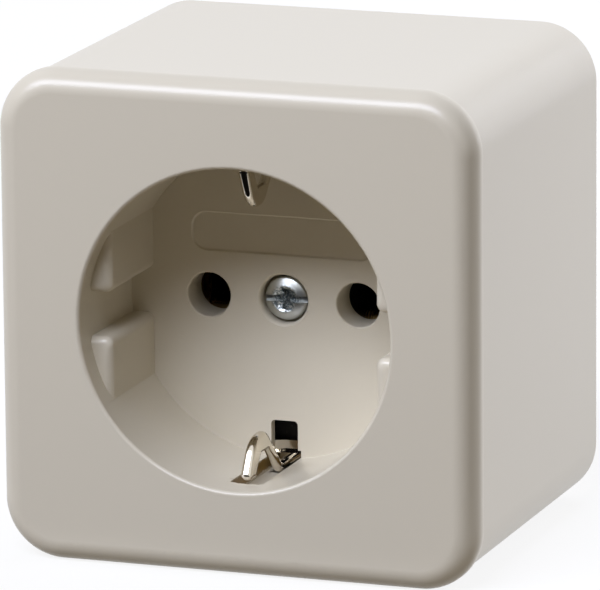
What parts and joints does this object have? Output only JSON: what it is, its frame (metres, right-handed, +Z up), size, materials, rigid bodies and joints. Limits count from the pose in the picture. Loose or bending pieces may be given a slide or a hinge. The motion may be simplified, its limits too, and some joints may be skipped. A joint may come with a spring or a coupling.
{
  "type": "type f wall socket",
  "caption": "Surface-mounted earthed wall socket, type F: a square white box with a round well, pin holes, sprung earth contacts and a centre screw.",
  "frame": {"origin": "centre of the wall face, midway between the two wall fixing holes", "axes": "+Z up, +X to the right seen from the front, +Y into the wall; the front faces -Y"},
  "size_m": [0.06, 0.0485, 0.06],
  "materials": {
    "cover_plastic": "glossy warm white moulding",
    "box_plastic": "glossy warm white moulding",
    "block_plastic": "black pressed insulating block",
    "nickel_plate": "bright nickel plated strip",
    "brass_sheet": "bright brass sheet",
    "spring_steel": "bare spring steel",
    "clamp_steel": "zinc plated steel",
    "screw_steel": "zinc plated steel screw"
  },
  "bodies": {
    "root": {"front_cover": "cover_plastic", "housing_box": "box_plastic", "cover_screw": "screw_steel", "earth_bracket": "nickel_plate", "socket_base": "block_plastic", "line_contact": "brass_sheet", "neutral_contact": "brass_sheet", "line_contact_spring": "spring_steel", "neutral_contact_spring": "spring_steel", "line_clamp_upper": "clamp_steel", "line_clamp_lower": "clamp_steel", "neutral_clamp_upper": "clamp_steel", "neutral_clamp_lower": "clamp_steel", "earth_clamp_upper": "clamp_steel", "earth_clamp_lower": "clamp_steel", "line_terminal_screws": "screw_steel", "neutral_terminal_screws": "screw_steel", "earth_terminal_screws": "screw_steel", "contact_rivets": "brass_sheet", "earth_bracket_rivets": "brass_sheet", "base_fixing_screws": "screw_steel"}
  },
  "joints": []
}
